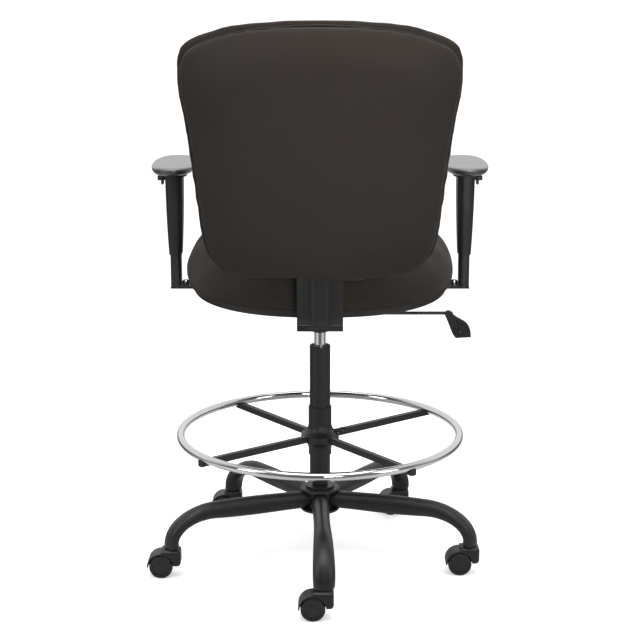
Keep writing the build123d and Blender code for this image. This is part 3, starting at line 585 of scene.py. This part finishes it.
# The rear pad has a slight crown. It rolls off towards its rim, found in sectors round the middle,
# except where the upright goes in.
sectors = 360
rim_drop, rear_crown = 0.015, 0.006
bar_near, bar_far = 0.055, 0.12
shape = back_shape("back_rear_cover", "back_cover", forward=False)
back_rear, rear_points, depth, across, rise = shape
centre_z = (rear_points[:, 2].max() + rear_points[:, 2].min()) / 2
bearing = np.arctan2(rear_points[:, 0], rear_points[:, 2] - centre_z)
reach = np.hypot(rear_points[:, 0], rear_points[:, 2] - centre_z)
sector = np.round((bearing + pi) / (2 * pi) * sectors).astype(int) % sectors
rim_reach = np.zeros(sectors)
np.maximum.at(rim_reach, sector, reach)
rim_bearing = np.linspace(-pi, pi, sectors + 1)
to_rim = np.interp(bearing, rim_bearing, np.append(rim_reach, rim_reach[0])) - reach
from_bar = ramp(np.abs(rear_points[:, 0]), bar_near, bar_far)
at_bar = (1 - from_bar) * (1 - ramp(rise, 0.2, 0.4))
roll = rim_drop * (1 - ramp(to_rim, -0.02, 0.085)) * (1 - at_bar)
rear_points[:, 1] -= roll * ramp(depth, 0.3, 1.0)
arch = (1 - across ** 2) * np.sin(pi * np.clip(rise, 0, 1))
rear_points[:, 1] += rear_crown * ramp(depth, 0.6, 1.0) * arch
move_points(back_rear, rear_points @ to_back)
plump(back_rear, depth, seam_end=0.10, pressure=2.5, cap=0.006, rounds=30, keep=(0, 2))
finish_pad(back_rear, upholstery, "back_cover", "back")

# The covers meet at the board's edge in a thin welt. The stitches lie part of the way forward.
welt_radius, welt_out, stitch_share = 0.0022, 0.005, 0.60
board_low, board_high = (np.array(corner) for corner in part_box("back_board"))
board_middle = to_back @ ((board_low + board_high) / 2)
board_ring = ring_on(nodes["back_board"], to_back, board_middle, (0, 2), board_middle[1])
outward = board_ring - board_ring.mean(axis=0)
outward /= np.linalg.norm(outward, axis=1, keepdims=True)
welt("back_welt", board_ring + welt_out * outward, welt_radius, upholstery, "back")
depths = (points_of(back_pad) @ to_back.T)[:, 1]
edge_level = depths.min() + stitch_share * (depths.max() - depths.min())
edge_ring = ring_on(back_pad, to_back, board_middle, (0, 2), edge_level)
stitches("back_stitches", edge_ring, thread_finish, "back")


glue, dark_wood, pale_wood = (0.30, 0.19, 0.11, 1), (0.42, 0.29, 0.17, 1), (0.66, 0.50, 0.33, 1)


def plywood_finish():
    """Birch ply: thin dark glue lines through its thickness and long pale grain on its faces."""
    made, tree, shader = start_material("birch ply")
    place = add(tree, "TexCoord").outputs["Object"]
    drawn = add(tree, "Mapping", {"Vector": place, "Scale": (3.0, 40.0, 40.0)})
    fibre = add(tree, "TexNoise", {"Vector": drawn.outputs[0], "Scale": 8.0,
                                   "Detail": 8.0}).outputs["Fac"]
    layers = add(tree, "TexWave", {"Vector": place, "Scale": 110.0, "Distortion": 0.6},
                 bands_direction="Z")
    wood = blend_of(tree, fibre, dark_wood, pale_wood)
    glued = blend_of(tree, layers.outputs["Fac"], glue, wood)
    tree.links.new(glued, shader.inputs["Base Color"])
    gloss = add(tree, "MapRange", {"Value": fibre, "To Min": 0.5, "To Max": 0.75})
    tree.links.new(gloss.outputs[0], shader.inputs["Roughness"])
    bump = add(tree, "Bump", {"Height": fibre, "Strength": 0.4, "Distance": 0.0003})
    tree.links.new(bump.outputs[0], shader.inputs["Normal"])
    return made


dress(plywood_finish(), "seat_board")
dress(grained_plastic, "back_board")


# ---- Arms -------------------------------------------------------------------------------
# A flat bar under the seat carries an oblong steel post. A tapered plastic sleeve slides on it
# and latches with a push button, and a soft self-skinned pad is screwed to the sleeve's top.

skin_dark, skin_light = (0.016, 0.015, 0.016, 1), (0.026, 0.024, 0.025, 1)
# Lighter colour for the pads' upward faces: part bloom, part painted highlight of the glare on
# their tops.
bloom_and_painted_highlight = (0.14, 0.13, 0.13, 1)
points_round = 96
pad_power = 2.6
elbow_dip = 0.0022
# Shares of the pad's half width and of its height, from the middle of the underside round the
# edge, with its parting line, to the middle of the top.
pad_rings = [(0.05, 0.0), (0.50, 0.0), (0.78, 0.01), (0.88, 0.08), (0.95, 0.24), (0.985, 0.42),
             (0.975, 0.45), (0.99, 0.48), (1.0, 0.66), (0.997, 0.80), (0.975, 0.91), (0.92, 0.972),
             (0.78, 1.0), (0.50, 1.0), (0.25, 0.995), (0.05, 0.99)]


def pad_skin_finish():
    """Self-skinned foam: a soft leather-like grain, and tops that are part bloom, part painted
    highlight.
    """
    made, tree, shader = start_material("self-skinned pad")
    place = add(tree, "TexCoord").outputs["Object"]
    cells = add(tree, "TexVoronoi", {"Vector": place, "Scale": 520.0, "Randomness": 1.0})
    fine = group(tree, grain_group, Scale=1100.0, Patch_scale=20.0)
    tone = blend_of(tree, fine["Patch"], skin_dark, skin_light)
    # Upward faces are lightened in patches: part bloom, part painted highlight.
    dust_and_highlight_tone = blend_of(tree, group(tree, dust_and_highlight_group, Amount=0.3)["Mask"], tone, bloom_and_painted_highlight)
    tree.links.new(dust_and_highlight_tone, shader.inputs["Base Color"])
    gloss = add(tree, "MapRange", {"Value": fine["Patch"], "To Min": 0.34, "To Max": 0.52})
    tree.links.new(gloss.outputs[0], shader.inputs["Roughness"])
    shader.inputs["Coat Weight"].default_value = 1.0
    shader.inputs["Coat Roughness"].default_value = 0.30
    fine_relief = calc(tree, "MULTIPLY", fine["Height"], 0.4)
    relief = calc(tree, "ADD", cells.outputs["Distance"], fine_relief)
    bump = add(tree, "Bump", {"Height": relief, "Strength": 0.5, "Distance": 0.0003})
    tree.links.new(bump.outputs[0], shader.inputs["Normal"])
    return made


pad_skin = pad_skin_finish()


def arm_pad(side):
    """Long oval pad with a rounded rim, a dip for the elbow and a parting line round its edge."""
    name = f"{side}_arm_pad"
    low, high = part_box(name)
    centre, half = (low + high) / 2, (high - low) / 2
    squareness = 2 / pad_power
    mesh = bmesh.new()
    loops = []
    for share, rise in pad_rings:
        loop = []
        for step in range(points_round):
            turn = 2 * pi * step / points_round
            c, s = cos(turn), sin(turn)
            x = half.x * share * abs(c) ** squareness * (1 if c >= 0 else -1)
            y = half.y * share * abs(s) ** squareness * (1 if s >= 0 else -1)
            dip = elbow_dip * (rise > 0.9) * (1 - (y / half.y) ** 2)
            z = low.z + 2 * half.z * rise - dip
            loop.append(mesh.verts.new((centre.x + x, centre.y + y, z)))
        loops.append(loop)
    for lower, upper in zip(loops, loops[1:]):
        for step in range(points_round):
            after = (step + 1) % points_round
            mesh.faces.new((lower[step], lower[after], upper[after], upper[step]))
    mesh.faces.new(list(reversed(loops[0])))
    mesh.faces.new(loops[-1])
    piece = bpy.data.objects.new(f"{name}_skin", bpy.data.meshes.new(f"{name}_skin"))
    mesh.to_mesh(piece.data)
    mesh.free()
    bpy.context.scene.collection.objects.link(piece)
    finish_pad(piece, pad_skin, name, f"{side}_arm")


for side in ("left", "right"):
    dress(powder_coat, f"{side}_arm_bracket")
    dress(grained_plastic, f"{side}_arm_sleeve", f"{side}_arm_button")
    arm_pad(side)


# ---- Room -------------------------------------------------------------------------------
# A plain pale floor, large soft lamps, and a sky that is brighter in front of the chair. The camera
# stands behind the chair, a little above it, and looks down through a long lens.

paper_white, paper_bounce = (0.86, 0.86, 0.86, 1), (0.34, 0.34, 0.34, 1)
paper_glow = 0.42
reflection_lobes = 3.0


def floor_finish():
    """Plain pale paper. Glossy rays see dark lobes painted on it: a painted reflection of screens.
    """
    made, tree, shader = start_material("pale floor")
    place = add(tree, "NewGeometry").outputs["Position"]
    axes = add(tree, "SeparateXYZ", {0: place}).outputs
    far = add(tree, "VectorMath", {0: place}, operation="LENGTH").outputs["Value"]
    turn = calc(tree, "ARCTAN2", axes["X"], axes["Y"])
    wave = calc(tree, "COSINE", calc(tree, "MULTIPLY", turn, reflection_lobes))
    lobes = calc(tree, "MULTIPLY_ADD", wave, 0.5, 0.5)
    outer = add(tree, "MapRange", {"Value": far, "From Min": 0.5, "From Max": 1.1}).outputs[0]
    # Dark lobes far out on the floor, seen by glossy rays only: a painted reflection.
    painted_screen_reflection = calc(tree, "MULTIPLY_ADD", calc(tree, "MULTIPLY", lobes, outer), -0.55, 0.62)
    ray = add(tree, "LightPath").outputs
    bounced = blend_of(tree, ray["Is Glossy Ray"], paper_bounce, painted_screen_reflection)
    paper = blend_of(tree, ray["Is Camera Ray"], bounced, paper_white)
    tree.links.new(paper, shader.inputs["Base Color"])
    shader.inputs["Emission Color"].default_value = (1, 1, 1, 1)
    glow = calc(tree, "MULTIPLY", ray["Is Camera Ray"], paper_glow)
    tree.links.new(glow, shader.inputs["Emission Strength"])
    shader.inputs["Roughness"].default_value = 0.7
    return made


floor_mesh = bpy.data.meshes.new("floor")
floor_half = 80.0
corners = [(x * floor_half, y * floor_half, 0) for x, y in ((-1, -1), (1, -1), (1, 1), (-1, 1))]
floor_mesh.from_pydata(corners, [], [(0, 1, 2, 3)])
floor_mesh.materials.append(floor_finish())
floor = bpy.data.objects.new("floor", floor_mesh)
bpy.context.scene.collection.objects.link(floor)


def soft_lamp(name, power, size, place, aim, spread=180):
    """Rectangular lamp, turned towards a point."""
    data = bpy.data.lights.new(name, "AREA")
    data.spread = radians(spread)
    data.shape = "RECTANGLE"
    data.size, data.size_y = size
    data.energy = power
    lamp = bpy.data.objects.new(name, data)
    lamp.location = place
    lamp.rotation_euler = (Vector(aim) - Vector(place)).to_track_quat("-Z", "Y").to_euler()
    bpy.context.scene.collection.objects.link(lamp)


soft_lamp("overhead", power=90, size=(2.4, 2.4), place=(0.0, 0.6, 3.2), aim=(0, 0, 0.6))
soft_lamp("left", power=22, size=(0.8, 2.0), place=(2.4, 1.6, 1.8), aim=(0, 0, 0.7))
soft_lamp("right", power=18, size=(0.8, 2.0), place=(-2.4, 1.8, 1.7), aim=(0, 0, 0.7))
soft_lamp("rear key", power=3.0, size=(0.7, 0.9), place=(-0.5, 3.0, 1.5), aim=(-0.03, 0, 1.02),
          spread=30)

world = bpy.data.worlds.new("studio")
bpy.context.scene.world = world
world.use_nodes = True
sky = world.node_tree
direction = add(sky, "TexCoord").outputs["Generated"]
sky_axes = add(sky, "SeparateXYZ", {0: direction}).outputs
backdrop = add(sky, "MapRange", {"Value": sky_axes["Y"], "From Min": 0.35, "From Max": -0.35,
                                 "To Min": 0.20, "To Max": 1.05},
               interpolation_type="SMOOTHSTEP").outputs[0]
ceiling = add(sky, "MapRange", {"Value": sky_axes["Z"], "From Min": 0.35, "From Max": 0.8,
                                "To Max": 0.8}).outputs[0]
gap = add(sky, "MapRange", {"Value": sky_axes["Z"], "From Min": 0.03, "From Max": 0.13,
                            "To Min": 0.25}).outputs[0]
dome = calc(sky, "MULTIPLY", calc(sky, "MAXIMUM", backdrop, ceiling), gap)
seen = add(sky, "LightPath").outputs["Is Camera Ray"]
shown = blend_of(sky, seen, dome, (1.0, 1.0, 1.0, 1))
sky.links.new(shown, sky.nodes["Background"].inputs["Color"])
sky.nodes["Background"].inputs["Strength"].default_value = 1.0

camera_behind, camera_height = 3.677, 1.460
camera_pitch = 13.18
camera = bpy.data.objects.new("camera", bpy.data.cameras.new("camera"))
camera.location = (0.0, camera_behind, camera_height)
camera.rotation_euler = (radians(90 - camera_pitch), 0.0, radians(180))
camera.data.lens = 88.9
camera.data.sensor_width = 36.0
bpy.context.scene.collection.objects.link(camera)
bpy.context.scene.camera = camera
bpy.context.scene.view_settings.view_transform = "Standard"
